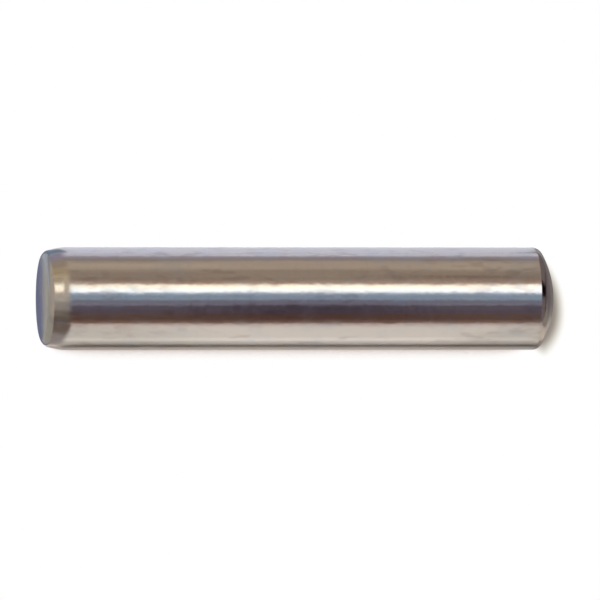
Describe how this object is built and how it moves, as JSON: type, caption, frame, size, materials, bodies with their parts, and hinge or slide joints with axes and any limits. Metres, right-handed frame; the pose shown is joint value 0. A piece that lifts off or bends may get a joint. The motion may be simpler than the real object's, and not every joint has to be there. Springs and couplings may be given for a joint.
{
  "type": "dowel pin",
  "caption": "Straight ground steel dowel pin with a tapered lead at one end and a low domed crown at the other, for locating two parts by press fit.",
  "frame": {"origin": "centre of the flat face at the lead end, on which the pin stands", "axes": "+Z along the pin's axis, from the lead end to the crowned end; X and Y are free, since the pin is turned"},
  "size_m": [0.0064, 0.0064, 0.032],
  "materials": {
    "ground_steel": "hardened steel, centreless ground and lightly polished on the shank, plainer turned finish on the end face"
  },
  "bodies": {
    "root": {"dowel_pin": "ground_steel"}
  },
  "joints": []
}
